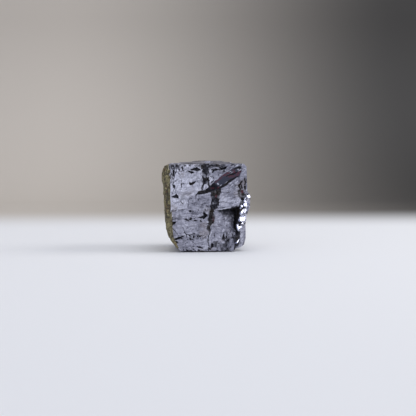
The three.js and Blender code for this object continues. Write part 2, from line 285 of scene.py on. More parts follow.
CRACKS = [  # x, z and half width
    [[-10, 8.8, 0.08], [-8.4, 8.85, 0.06], [-6.1, 9, 0.06], [-4.7, 8.75, 0.06], [-4.2, 9.2, 0.03],
     [-2.4, 9.45, 0.06]],
    [[-9.3, 11.4, 0.05], [-7, 11.55, 0.07], [-5, 11.75, 0.05]],
    [[-5.05, 11.8, 0.02], [-5, 13.4, 0.05], [-4.7, 14.1, 0.08], [-3.5, 14.7, 0.08], [-3, 15.6, 0.12]],
    [[-7.1, 7.4, 0.08], [-6.7, 7, 0.1], [-6.1, 5.9, 0.1], [-5.5, 4.9, 0.12], [-4.7, 4.65, 0.12],
     [-3.4, 4.85, 0.08]],
    [[-3.4, 4.85, 0.08], [-0.4, 4.5, 0.06]], [[-9.2, 6.6, 0.05], [-8.2, 5.2, 0.09], [-7.4, 4.4, 0.06]],
    [[-6.9, 19.4, 0.06], [-6.85, 18.4, 0.13], [-6.9, 17.6, 0.06]],
    [[-8.3, 18.8, 0.04], [-6.8, 18.7, 0.08], [-5.2, 18.9, 0.04]],
    [[-9.3, 20.4, 0.07], [-9.2, 18.6, 0.08], [-9, 17.2, 0.06]],
    [[-7.7, 14.6, 0.05], [-6.8, 13.7, 0.1], [-6, 13.1, 0.05]], [[3.2, 14.6, 0.07], [3.3, 12.4, 0.1]],
    [[3.7, 17, 0.16], [3.75, 16, 0.2]], [[3.4, 16.6, 0.04], [5.6, 16.2, 0.08], [8.2, 16.6, 0.05]],
    [[4, 13.6, 0.04], [6.4, 13.3, 0.08], [8.8, 13.7, 0.05]],
    [[9.6, 19.2, 0.16], [9.15, 18.9, 0.26], [8.9, 18.1, 0.32], [8.9, 17.1, 0.22]],
    [[10.3, 20.1, 0.14], [10.45, 19.1, 0.2], [10.4, 18.4, 0.14]],
    [[10.45, 17.9, 0.24], [10.6, 17, 0.28], [10.5, 16.3, 0.2]],
    [[9.65, 17.9, 0.14], [9.65, 17.4, 0.28], [9.7, 17.1, 0.14]],
    [[10.75, 20.4, 0.06], [10.85, 18.7, 0.12]],
    [[-10.15, 23.3, 0.14], [-10, 20, 0.1], [-9.98, 16, 0.1], [-9.9, 11, 0.1], [-9.75, 7.5, 0.1],
     [-9.5, 4.8, 0.12]],
]
DARK_STROKES = [  # groups of short dark nicks, as the strokes function takes them
    [-10.3, -6.4, 21.2, 23.6, 18, 90, 15, 1.3, 0.34], [-10.1, -8.5, 16.5, 21, 12, 90, 12, 1.5, 0.26],
    [-10.1, -8.6, 20, 23.2, 10, 90, 8, 1.7, 0.34], [-8, -1.5, 17, 23.2, 18, 20, 50, 1.1, 0.12],
    [-10, 1, 9.6, 16, 30, 10, 35, 1.4, 0.12], [-9.4, 0.6, 0.6, 9, 36, 20, 70, 1.1, 0.12],
    [1.6, 9.6, 21.4, 23.9, 16, 25, 15, 1.6, 0.26], [3, 10.6, 12.6, 18.5, 28, 15, 25, 1.5, 0.14],
    [0.8, 1.9, 18.9, 23.6, 8, 88, 12, 1.4, 0.4], [2, 8.2, 0.8, 5, 18, 90, 30, 1.5, 0.4],
    [2.5, 8, 5, 11, 26, -58, 20, 1.6, 0.18], [-1.4, 0.6, 19.5, 23.8, 9, 90, 8, 1.6, 0.4],
    [-5, -0.4, 3.4, 4.8, 14, 80, 40, 0.6, 0.26], [-7, 7, 0, 0.7, 18, 0, 15, 1.3, 0.5],
    [-5, 4.4, 22.9, 24.2, 14, 5, 15, 1.5, 0.36],
]
EDGE_STROKES = [[8, 12, 2, 15.6, 60, 42, 22, 1.7, 0.36]]
SLIVERS = [  # raised splinters with painted highlights on them, in the same way
    [0.6, 1.7, 19, 22.8, 9, 82, 10, 1.6, 0.4], [-0.9, 0.3, 17.1, 18.8, 6, 70, 8, 1.9, 0.5],
    [-10, -9.6, 10, 23, 16, 88, 5, 1.8, 0.3], [-9.5, -7, 20, 23, 12, 85, 12, 1.2, 0.3],
    [-5.4, -2.2, 22.9, 23.6, 6, 5, 8, 1.8, 0.4], [-9, -1.5, 15.6, 22.8, 44, 15, 45, 1.3, 0.3],
    [-9.5, 0.5, 1, 14.5, 40, 20, 60, 1.1, 0.24], [3, 10.5, 12.6, 17.5, 24, 12, 20, 1.6, 0.24],
    [7.2, 9.2, 12.6, 14.3, 8, 90, 8, 1.3, 0.34], [2.9, 3.5, 12.3, 16.6, 5, 86, 8, 1.4, 0.34],
    [3, 10, 17.5, 23.5, 20, 33, 10, 2, 0.26], [2.8, 8, 4.5, 11, 26, -60, 25, 1.3, 0.26],
    [0.7, 1.3, 2.5, 6.2, 4, 86, 6, 1.8, 0.34], [7.4, 9, 1.3, 2.6, 4, 20, 20, 1.1, 0.4],
    [-1.3, 0.6, 19.4, 23.6, 7, 88, 8, 1.2, 0.2], [1.4, 3.3, 11.6, 17, 9, 86, 14, 0.9, 0.2],
]
GLINTS = [  # larger painted highlights, and the highlight along the hollow's ledge
    [[2.8, 18.7], [3.15, 18.7], [3.35, 18.35], [3.05, 18.3]], [[8.1, 22.4], [8.7, 22.5], [8.6, 22.2]],
    [[2.6, 11.55], [4.6, 11.95], [6.9, 12.1], [6.8, 12], [4.5, 11.7]],
]
EYE_PATCH = [[8.2, 16.8], [9, 17.2], [10.3, 16.9], [10.4, 15.6], [9.9, 14.3], [9.2, 14.5], [8.4, 15.5]]
FAN = [2.9, 11.4]  # where the streaks of the hollow come from
DARK_CORNER = [  # the deepest part of the hollow, under its ledge and along its right wall; it is also painted dark, as shade
    [6.4, 11.5], [6.9, 12.3], [9.3, 12.5], [9.2, 10.1], [8.7, 8.3], [8.3, 7.5], [8.5, 6.1], [9.1, 5.6],
    [9, 4.5], [8.2, 4.3], [7.9, 4.9], [7.8, 5.9], [7.3, 7.2], [7.7, 8.7], [7.6, 10.3], [7, 10.9],
]
SMEARS = [  # sooty patches along the top
    [[-9.9, 23.9], [-8.9, 23.9], [-8.8, 23.2], [-9.8, 23]],
    [[-8.6, 23.9], [-6, 24], [-5.5, 23.4], [-6.9, 22.7], [-8.5, 22.8]],
    [[-2.1, 23.9], [-1.2, 23.9], [-1.2, 22.4], [-1.6, 22.4], [-2.4, 23.3]],
    [[0.5, 23.9], [4.2, 23.7], [3.6, 23.2], [1.7, 23.1], [0.5, 22.3]],
]
TONES = [  # patches of another brightness: outline, how soft, and the change
    [[[-5, 14.3], [-1.2, 15.6], [1.2, 15.4], [1.2, 12.2], [-4.9, 12.2]], 0.5, -0.12],
    [[[-4.4, 13.6], [-2.2, 13.6], [-2, 12.7], [-4.2, 12.7]], 0.3, -0.14],
    [[[-4.2, 11.2], [-1.6, 10.9], [-1.7, 10], [-4, 10.4]], 0.4, -0.14],
    [[[3.4, 14.4], [9.2, 14.4], [9.2, 12.5], [3.4, 12.3]], 0.4, 0.1],
    [[[-5.6, 23.9], [-2, 23.9], [-2.1, 23], [-3, 23.3], [-5.3, 22.7]], 0.3, 0.14],
    [[[1.2, 24.2], [7.4, 24.2], [6.2, 22.3], [3, 21.5], [1.2, 20]], 0.8, -0.16],
    # a painted highlight at the upper right corner
    [[[9.9, 22.7], [10.9, 22.7], [10.9, 20.9], [10.1, 20.7]], 0.3, 0.2],
    [[[8.8, 4.9], [9.7, 4.9], [9.5, 3.8], [8.8, 3.6]], 0.2, 0.25],
    [[[8.6, 19.4], [10.4, 19.6], [10.7, 16.2], [8.6, 16.2]], 0.5, -0.12],
]


MIDDLE_DEPTH, MIDDLE_TONE = 0.3, 0.49
PLANES = [  # outline, and how much deeper and brighter than the middle plane
    (BRIGHT_ZONE, -MIDDLE_DEPTH, 0.17), (LOWER_ZONE, 0.14, -0.03), (RIGHT_ZONE, 0.1, -0.045),
]
BLADE_DEPTH, TAIL_DEPTH, SEAM_DEPTH = 0.42, 0.85, 0.8
PIT_SLOPE, CRACK_SLOPE = 2.5, 2.2


def outline_reach(u, v, outlines):
    """How far inside the nearest of some outlines each point is."""
    return np.max([reach_inside(u, v, outline) for outline in outlines], axis=0)


def seam_reach(x, z):
    u, w = ragged(x, z, 20, 0.3, 0.14)
    return np.max([path_reach(u, w, stretch) for stretch in SEAM], axis=0)


def front_ragged(x, z):
    """The points that the planes of the front face are drawn with."""
    return ragged(x, z, 10, 0.14, 0.08)


def hollow_ragged(x, z):
    return ragged(x, z, 30, 0.14, 0.08)


def hollow_depth(x, z):
    """The broken quarter: a plane, streaked from its top left, that falls back to a steep right wall."""
    u, w = hollow_ragged(x, z)
    inside = ramp(reach_inside(u, w, HOLLOW), -0.02, 0.1)
    trough = np.interp(z, [0, 5, 12], [5.9, 7.6, 8.2])
    wall = np.interp(z, [0, 5, 12], [7.3, 8.7, 9.15])
    bottom = np.interp(z, [0, 6, 12], [1.0, 1.9, 2.6])
    share = np.clip((x - 2) / (trough - 2), 0, 1)
    fall = 0.45 + (bottom - 0.45) * share**2.4
    fall = np.where(x > trough, bottom * np.clip((wall + 0.2 - x) / (wall + 0.2 - trough), 0, 1) ** 0.6, fall)
    angle = np.arctan2(x - FAN[0], FAN[1] - z)
    away = np.hypot(x - FAN[0], z - FAN[1])
    streaks = noise(angle * 14, away * 0.35, 1, 31) + 0.6 * noise(angle * 31, away * 0.6, 1, 33)
    lumps = fractal(x * 1.5, z * 0.8, 1.3, 35) * (0.2 + 0.7 * ramp(-z, -6, -2))
    fall = fall + 0.03 * streaks * ramp(away, 1, 4) + 0.11 * lumps
    corner = ramp(reach_inside(u, w, DARK_CORNER), -0.05, 0.5)
    return inside * np.maximum(fall + 0.9 * corner, 0.2)


def pit_depth(x, z):
    u, w = ragged(x, z, 40, 0.1, 0.08)
    depth = np.zeros(x.shape)
    for outline, deepest in PITS:
        depth = np.maximum(depth, np.clip(PIT_SLOPE * (reach_inside(u, w, outline) + 0.1), 0, deepest))
    return depth


def crack_depth(x, z):
    u, w = ragged(x, z, 50, 0.22, 0.07)
    broken = 0.6 + 0.5 * noise(x, z, 0.7, 54)
    depth = CRACK_SLOPE * strokes(u, w, 56, DARK_STROKES)
    for path in CRACKS:
        depth = np.maximum(depth, CRACK_SLOPE * (path_reach(u, w, path) + 0.02) * broken)
    return np.clip(depth, 0, 0.25)


def small_pits(x, z):
    """Pin-sized angular pits, thicker in some rows and patches."""
    crowd = ramp(-np.abs(z - 4.1), -1.1, -0.2) * ramp(-np.abs(x + 2.7), -3, -2.2)
    crowd = crowd + 0.6 * ramp(noise(x, z, 3.1, 60), 0.1, 0.7) + 0.8 * ramp(-z, -1.8, -0.4)
    spots = ramp(noise(x + 0.3 * z, z, 0.38, 62), 0.64 - 0.2 * crowd, 0.86)
    return 0.2 * spots * np.clip(crowd, 0, 1) * (1 - 0.8 * ramp(reach_inside(x, z, HOLLOW), 0, 0.3))


def front_terraces(x, z):
    return terraces(x, z, ((-11, 12), (0, 24)), 12, 46, 0.16)


def blade_reach(x, z):
    return reach_inside(*ragged(x, z, 18, 0.14, 0.07), BLADE)


def tail_reach(x, z):
    return reach_inside(*ragged(x, z, 22, 0.14, 0.1), TAIL)


def front_depth(x, z):
    """How far the front face lies behind its foremost plane."""
    u, w = front_ragged(x, z)
    depth = MIDDLE_DEPTH
    for zone, deeper, _ in PLANES:
        depth = depth + deeper * ramp(reach_inside(u, w, zone), -0.03, 0.05)
    depth += front_terraces(x, z)[0]
    depth += 0.02 * fractal(x, z, 1.6, 14) + 0.008 * fractal(x * 1.6, z * 0.5, 0.5, 16)
    depth -= 0.05 * ramp(strokes(u, w, 58, SLIVERS), 0, 0.1)
    blade = blade_reach(x, z)
    cast = BLADE_DEPTH + 0.1 * ramp(blade, 0.2, 1) - 0.03 * noise(x + z, z - x, 0.5, 19)
    depth = np.where(blade > 0, cast, depth)
    tail = tail_reach(x, z)
    depth = np.maximum(depth, np.clip(0.25 + 1.6 * tail, 0, TAIL_DEPTH) * (tail > -0.02))
    seam = seam_reach(x, z)
    blocks = 0.55 + 0.35 * noise(x, z, 0.55, 24) + 0.25 * noise(x, z, 0.25, 25)
    depth = np.maximum(depth, np.clip(0.2 + 2 * seam, 0, SEAM_DEPTH) * blocks * (seam > -0.02))
    depth = np.maximum(depth, hollow_depth(x, z))
    edge = ramp(z, 23.0, 23.7) + ramp(-x, 10.0, 10.6)
    depth += 0.14 * edge * (1 + fractal(x, z, 0.6, 27))
    for outline, deep in SHELVES:
        shelf = deep + 0.5 * terraces(x, z, ((7, 13), (0, 16)), 28, 20, 0.5)[0]
        depth = np.where(reach_inside(u, w, outline) > 0, shelf, depth)
    return depth + pit_depth(x, z) + crack_depth(x, z) + small_pits(x, z)


def front_side(x, z):
    return -front_depth(x, z) - FRONT


# ---- The other sides ----

LEFT_SIDE = [
    [0, -6.9], [0.3, -7.4], [0.9, -7.95], [2, -8.5], [3.2, -9.1], [4.1, -9.45], [5.1, -9.65],
    [7.4, -9.85], [10.9, -10], [20, -10.1], [23.3, -10.5],
]
RIGHT_SIDE_FRONT = [
    [0, 6.6], [0.9, 8.1], [1.1, 9.5], [1.8, 10.4], [3.6, 10.85], [7.5, 10.8], [9.2, 10.9], [10.9, 11.5],
    [11.9, 12], [14.9, 12], [15.8, 11.6], [16.4, 11], [23.2, 10.8], [23.75, 10.2],
]
RIGHT_SIDE_BEHIND = [
    [0, 8.4], [1.2, 9.6], [2.7, 10.6], [8.5, 10.7], [9.4, 11.5], [23, 11.4], [23.9, 10.4],
]
BEHIND = -3.9  # y where the right side's front stretch ends
TOP_OUTLINE = [
    [-10.5, 23.5], [-9.6, 23.9], [-4, 24], [-1, 24.5], [3.4, 24.5], [5.2, 24], [10.2, 23.75],
    [10.8, 23.2],
]
TOP_ALONG_Y = [[-10, 23.5], [-8.6, 23.9], [-3.6, 24.5], [4.2, 24.5], [7.6, 23.5], [9.3, 22.4]]
RIGHT_CUTS = [  # y from, y to, z from, z to, x
    [-5.2, 2.6, 16.6, 26, 11], [2.4, 11, 12.4, 26, 10.6], [-2, 2.8, 10, 17.4, 11.1],
    [-0.6, 1.9, 5.8, 10.4, 11.2], [-4.4, 0.4, -1, 5.6, 10.3], [1.6, 11, -1, 7.6, 10],
    [6.4, 11, 6.8, 12.8, 9.7], [5.4, 11, -1, 3.6, 9.4],
]
TOP_CUTS = [  # x from, x to, y from, y to, z
    [-12, -5.4, -11, -6.6, 23.9], [7.4, 13, -5.4, 3.6, 23.2], [4.2, 13, 2.2, 11, 23.5],
    [-12, -7.2, -4.8, 2.6, 23.3], [-12, -3.4, 2.4, 11, 22.6], [-3.6, 4.4, 5.2, 11, 23.2],
    [-0.6, 1.4, -7.4, -2.6, 24.1],
]
BACK_CUTS = [  # x from, x to, z from, z to, y
    [-12, -5.6, 14.6, 26, 9.4], [-5.8, 1.6, 18.4, 26, 9.6], [-12, -6.4, -1, 9.4, 8.7],
    [-6.6, -1.2, -1, 6.6, 9.3], [3.2, 13, -1, 11.4, 9.1], [5.8, 13, -1, 7.2, 8.3],
    [6.4, 13, 15.2, 26, 8.9], [-2.4, 2.2, 9.8, 14.2, 9.7],
]


def profile(at, points):
    """The value at each place, through [place, value] points."""
    places, values = zip(*points)
    return np.interp(at, places, values)


def right_steps(y, z):
    return terraces(y, z, ((-10, 10), (0, 24)), 72, 60, 0.5)


def top_steps(x, y):
    return terraces(x, y, ((-11, 11), (-10, 10)), 82, 60, 0.4)


def back_steps(x, z):
    return terraces(x, z, ((-11, 11), (0, 24)), 92, 60, 0.45)


def right_side(y, z):
    near = profile(z, RIGHT_SIDE_FRONT)
    behind = profile(z, RIGHT_SIDE_BEHIND)
    joined = np.maximum(near, np.where(y > BEHIND - 1, behind, 0))
    x = np.where(y < BEHIND + 0.2 * zigzag(z, 70, 1), joined, behind)
    x = cut_levels(y, z, x, RIGHT_CUTS, 130)
    x = np.minimum(x, profile(y, [[-10, 11.1], [-8.4, 12], [6.4, 12], [9.1, 11.1], [10, 9.4]]))
    return x - right_steps(y, z)[0] * ramp(y, -7, -4) - 0.03 * (1 + fractal(y, z, 1.4, 74))


def left_side(y, z):
    x = profile(z, LEFT_SIDE)
    x = np.maximum(x, profile(y, [[6.2, -10.5], [8.8, -9.9], [10, -8.2]]))
    return x + terraces(y, z, ((-10, 10), (0, 24)), 76, 30, 0.3)[0] + 0.05 * (1 + fractal(y, z, 1.1, 78))


def top_side(x, y):
    z = np.minimum(profile(x, TOP_OUTLINE), profile(y, TOP_ALONG_Y)) + 0.3
    z = cut_levels(x, y, np.minimum(z, TOP), TOP_CUTS, 170)
    rough = ramp(-y, 6, 9)
    z = z - top_steps(x, y)[0] * ramp(y, -10, -6)
    z = z - 0.02 * (1 + fractal(x, y, 1.3, 88, 3))
    z = z - 0.06 * rough * (1 + fractal(x, y, 0.9, 84))
    return z - 0.1 * rough * ramp(noise(x, y, 0.5, 86), 0.3, 0.8)


def back_side(x, z):
    y = profile(z, [[0, 8.4], [1.4, 9.4], [4.2, 10], [19.8, 10], [22.4, 9.3], [23.5, 7.6], [24.5, 4.2]])
    y = cut_levels(x, z, y, BACK_CUTS, 210)
    return y - back_steps(x, z)[0] - 0.02 * (1 + fractal(x, z, 1.3, 94))


def foot(x, y):
    """How far the underside is above the surface that the block stands on."""
    chips = terraces(x, y, ((-8, 9), (-10, 8)), 96, 16, 0.5)[0]
    border = np.minimum(np.minimum(x + 7.2, 8 - x), np.minimum(y + 9.7, 7.6 - y))
    return np.where(border < 0.9, chips, 0) + 0.35 * ramp(-border, -0.35, 0.1)


# ---- From numbers to meshes ----


def mesh_object(name, points, faces):
    mesh = bpy.data.meshes.new(name)
    mesh.from_pydata((points * MM).tolist(), [], faces)
    mesh.update()
    made = bpy.data.objects.new(name, mesh)
    bpy.context.scene.collection.objects.link(made)
    return made


def samples(low, high, pitch):
    return np.linspace(low, high, round((high - low) / pitch) + 1)


def relief(name, along_u, along_v, u, v, height, base):
    """A closed block. Its outer side has the height of a function of place, and its inner side is flat."""
    u_axis, v_axis = np.array(along_u, float), np.array(along_v, float)
    out = np.cross(u_axis, v_axis)
    u, v = np.meshgrid(u, v, indexing="ij")
    plane = u[..., None] * u_axis + v[..., None] * v_axis
    places = np.delete(plane, np.argmax(np.abs(out)), axis=-1)
    outer = (plane + height(places[..., 0], places[..., 1])[..., None] * out).reshape(-1, 3)
    at = np.arange(u.size).reshape(u.shape)
    quads = np.stack([at[:-1, :-1], at[1:, :-1], at[1:, 1:], at[:-1, 1:]], -1).reshape(-1, 4)
    rim = np.concatenate([at[:-1, 0], at[-1, :-1], at[:0:-1, -1], at[0, :0:-1]])
    inner = plane.reshape(-1, 3)[rim] + base * out
    under = len(outer) + np.arange(len(rim))
    walls = np.stack([rim, under, np.roll(under, -1), np.roll(rim, -1)], -1)
    faces = quads.tolist() + walls.tolist() + [under[::-1].tolist()]
    return mesh_object(name, np.concatenate([outer, inner]), faces)


def intersect(target, other):
    """Keeps what a closed mesh has in common with another, which is then removed."""
    step = target.modifiers.new("common", "BOOLEAN")
    step.operation, step.solver, step.object = "INTERSECT", "MANIFOLD", other
    made = bpy.data.meshes.new_from_object(target.evaluated_get(bpy.context.evaluated_depsgraph_get()))
    old = target.data
    target.modifiers.clear()
    target.data = made
    bpy.data.meshes.remove(old)
    bpy.data.objects.remove(other)
    if not made.polygons:
        raise RuntimeError(f"nothing is left of {target.name}")


def vectors(items, name):
    flat = np.empty(len(items) * 3)
    items.foreach_get(name, flat)
    return flat.reshape(-1, 3)


def write(mesh, **masks):
    """Gives a mesh the values that its material reads."""
    for name, values in masks.items():
        made = mesh.attributes.new(name, "FLOAT", "POINT")
        made.data.foreach_set("value", np.asarray(values, np.float32).ravel())


# ---- The crystal ----

FRONT_PITCH, SIDE_PITCH, EDGE_PITCH = 0.11, 0.22, 0.09

EDGE_TURN = math.radians(40)  # how far the broken front right edge is turned to the right
FACET_SLOPE = math.tan(math.radians(18))  # its bright facets look up a little
FACET_SPREAD = 0.04  # how far a facet runs past its outline
RIM = 0.1  # how wide the painted shade along the terraces' edges is
SIDE_TONE, EDGE_TONE = 0.5, 0.06
EDGE_START = [  # z, and the x where the broken edge begins
    [-1, 7.4], [1, 7.5], [2.3, 7.7], [5.5, 8.3], [7, 8], [8.2, 8.5], [10, 8.9], [12, 9.1], [13.7, 9.4],
    [14.6, 10], [15.7, 10.5], [16.3, 14],
]
FACETS = [  # x and z outlines on the broken edge, as seen from the front
    [[11, 15.5], [11.5, 15.7], [12.1, 15.1], [11.9, 14.6], [11.2, 14.7]],
    [[9.9, 13.6], [10.5, 14.7], [11, 14.9], [10.9, 14.3], [10.3, 13.5]],
    [[10, 13.1], [11.2, 13.5], [11.6, 12.7], [10.8, 12.1], [10.2, 12.4]],
    [[9.05, 11.6], [9.15, 12.7], [9.9, 12.9], [9.9, 12.3], [9.5, 11.8]],
    [[8.9, 10.2], [8.95, 10.9], [9.4, 11], [10.5, 11.7], [11.3, 12], [11.2, 11.3], [10.2, 10.5],
     [9.4, 9.9]],
    [[8.9, 9.6], [10.1, 9.9], [10.8, 9.4], [10.6, 8.7], [9.7, 8.2], [8.7, 8.35], [8.5, 8.9]],
    [[8.1, 7.5], [8.6, 7.6], [8.75, 6.9], [9.7, 7], [9.6, 6.6], [8.95, 6.3], [8.7, 5.5], [8.3, 5.6],
     [8.15, 6.5]],
    [[9.4, 8], [10, 8.1], [10, 7.7], [9.6, 7.5]],
    [[7.8, 2.5], [8.4, 2.9], [9, 3.45], [9.1, 3.2], [8.5, 2.6], [7.95, 2.3]],
]


def edge_level(z):
    """How far out the plane of the broken edge lies at each height."""
    return profile(z, EDGE_START) * math.sin(EDGE_TURN) - FRONT * math.cos(EDGE_TURN)


def edge_side(x, z):
    """How far out the broken edge reaches: bright facets that overhang dark gaps."""
    level = edge_level(z)
    seen_x = x + level * math.sin(EDGE_TURN)
    across, up = ragged(seen_x, z, 100, 0.1, 0.07)
    height = level - 0.42 - 0.1 * noise(seen_x, z, 1.1, 102) + 0.5 * zigzag(z, 104, 0.1)
    for outline in FACETS:
        middle = sum(corner[1] for corner in outline) / len(outline)
        facet = edge_level(middle) - 0.1 - FACET_SLOPE * (z - middle)
        inside = reach_inside(across, up, outline) > -FACET_SPREAD
        height = np.where(inside, np.maximum(height, facet), height)
    return height


def facet_reach(x, z):
    """How far inside a bright facet of the broken edge each point is."""
    across, up = ragged(x, z, 100, 0.1, 0.07)
    return outline_reach(across, up, FACETS) + FACET_SPREAD


def crystal_body():
    low, high = CRYSTAL_LOW - SPARE, CRYSTAL_HIGH + SPARE
    across, deep, up = (1, 0, 0), (0, 1, 0), (0, 0, 1)
    x_fine, z_fine = samples(low.x, high.x, FRONT_PITCH), samples(low.z, high.z, FRONT_PITCH)
    x, y, z = (samples(a, b, SIDE_PITCH) for a, b in zip(low, high))
    along_edge = (math.cos(EDGE_TURN), math.sin(EDGE_TURN), 0)
    edge_u = np.concatenate([[-30, -20, -10, -5], samples(-2.5, 5, EDGE_PITCH), [8, 12, 20, 30]])
    edge_z = samples(low.z, high.z, EDGE_PITCH)
    body, *others = [
        relief("galena_block", across, up, x_fine, z_fine, front_side, -high.y),
        relief("top", across, deep, x, y, top_side, low.z),
        relief("right", deep, up, y, z, right_side, low.x),
        relief("back", (-1, 0, 0), up, -x[::-1], z, back_side, low.y),
        relief("left", (0, -1, 0), up, -y[::-1], z, lambda y, z: -left_side(y, z), -high.x),
        relief("foot", (-1, 0, 0), deep, -x[::-1], y, lambda x, y: -foot(x, y), -high.z),
        relief("edge", along_edge, up, edge_u, edge_z, edge_side, -30),
    ]
    for other in others:
        intersect(body, other)
    return body


def step_edge_shade(steps, u, v):
    """1 along the edges of a side's terraces, where shade is painted."""
    near, far = steps(u - RIM, v - RIM)[0], steps(u + RIM, v + RIM)[0]
    return ramp(np.abs(far - near), 0.005, 0.08) * ramp(fractal(u, v, 2.6, 121), -1.4, -0.2)


def side_masks(x, y, z, normals):
    """The tone of the sides other than the front, and how dark they are: dark pits, and painted shade along
    the edges of their terraces.
    """
    tone, dirt = SIDE_TONE - 0.1 * ramp(normals[:, 2], 0.6, 0.8), np.zeros(x.shape)
    for steps, u, v, facing in ((right_steps, y, z, 0), (back_steps, x, z, 1), (top_steps, x, y, 2)):
        share = ramp(np.abs(normals[:, facing]), 0.6, 0.8)
        tone += 0.12 * share * steps(u, v)[1]
        pits = ramp(noise(u, v, 0.42, 122) + 0.4 * noise(u, v, 2.7, 123), 0.55, 0.85)
        # painted shade along the terraces' edges, and dark pits
        dirt = np.maximum(dirt, share * np.maximum(0.75 * step_edge_shade(steps, u, v), 0.7 * pits))
    return tone, dirt


def front_tone(x, z, hollow):
    """How bright each part of the front face is."""
    u, w = front_ragged(x, z)
    tone = MIDDLE_TONE
    for zone, _, brighter in PLANES:
        tone = tone + brighter * ramp(reach_inside(u, w, zone), -0.1, 0.15)
    tone += 0.07 * front_terraces(x, z)[1] - 0.075 * hollow
    for outline, soft, change in TONES:
        tone += change * ramp(reach_inside(u, w, outline), -soft, soft)
    return tone


def seam_dirt(x, z):
    pale = 0.45 * ramp(-np.abs(z - 20.9), -1, 0)
    broken = noise(x, z, 0.6, 110) + 0.7 * noise(x * 1.6, z * 0.6, 0.4, 111)
    return ramp(seam_reach(x, z), -0.1, 0.06) * np.clip(0.8 + 0.3 * broken - pale, 0.3, 1)


def hollow_dirt(x, z, hollow):
    """The painted shade under the ledge, which reaches further down towards the right, and the darker foot of
    the hollow.
    """
    # painted shade under the ledge, deeper towards the right
    below = profile(x, LEDGE) - z
    reach = 0.9 + 1.05 * np.clip(x - 3, 0, 4)
    gloom = np.clip(1.25 - 1.25 * below / reach, 0, 1) * ramp(x, 2.3, 3.4)
    gloom *= 0.9 + 0.3 * noise(x, z, 0.6, 113)
    low = ramp(-z, -5.4, -3.6) * ramp(fractal(x * 1.3, z * 0.8, 1.5, 114), -0.4, 0.6)
    return hollow * np.maximum(gloom, 0.62 * low)


def front_dirt(x, z, pit_shade_and_soot, hollow):
    """Where the front face is sooty, and where shade is painted on it: in its pits and cracks, under the
    hollow's ledge, in its dark corner and along its foot.
    """
    u, w = front_ragged(x, z)
    marks = ramp(outline_reach(*ragged(x, z, 34, 0.1, 0.08), BLADE_MARKS), -0.1, 0.12)
    # painted shade in the hollow's dark corner
    corner = ramp(reach_inside(*ragged(x, z, 30, 0.2, 0.12), DARK_CORNER), -0.35, 0.2)
    eye = ramp(reach_inside(u, w, EYE_PATCH), -0.3, 0.4) * (0.75 + 0.4 * noise(x, z, 0.4, 116))
    brow = ramp(z, 22.6, 23.4) * ramp(fractal(x, z, 0.9, 118), -0.2, 0.3)
    smears = ramp(outline_reach(u, w, SMEARS), -0.25, 0.2) * (0.8 + 0.5 * noise(x, z, 0.45, 115))
    # painted contact shadow along the foot of the front face
    painted_contact_shadow = ramp(-z, -0.5, -0.1)
    tail = ramp(tail_reach(x, z), -0.05, 0.15)
    faint = [0.9 * marks, 0.75 * eye, 0.5 * brow, 0.8 * smears, 0.8 * painted_contact_shadow]
    return np.max([pit_shade_and_soot, tail, seam_dirt(x, z), corner, hollow_dirt(x, z, hollow), *faint], axis=0)


def edge_gaps(x, z, on_edge, facet, calm):
    """Painted shade, with some soot, in the gaps between the bright facets of the broken edge."""
    behind = ramp(profile(z, EDGE_START) - x, -1.5, -0.9)
    behind *= 0.5 + 0.4 * ramp(-z, -13.6, -12.6)
    gaps = on_edge * (1 - facet) * np.maximum(0.6 * ramp(noise(x, z, 0.7, 119), 0, 0.5), behind)
    gaps = np.maximum(gaps, on_edge * ramp(strokes(x, z, 59, EDGE_STROKES), -0.03, 0.05))
    return gaps * (1 - 0.7 * calm)


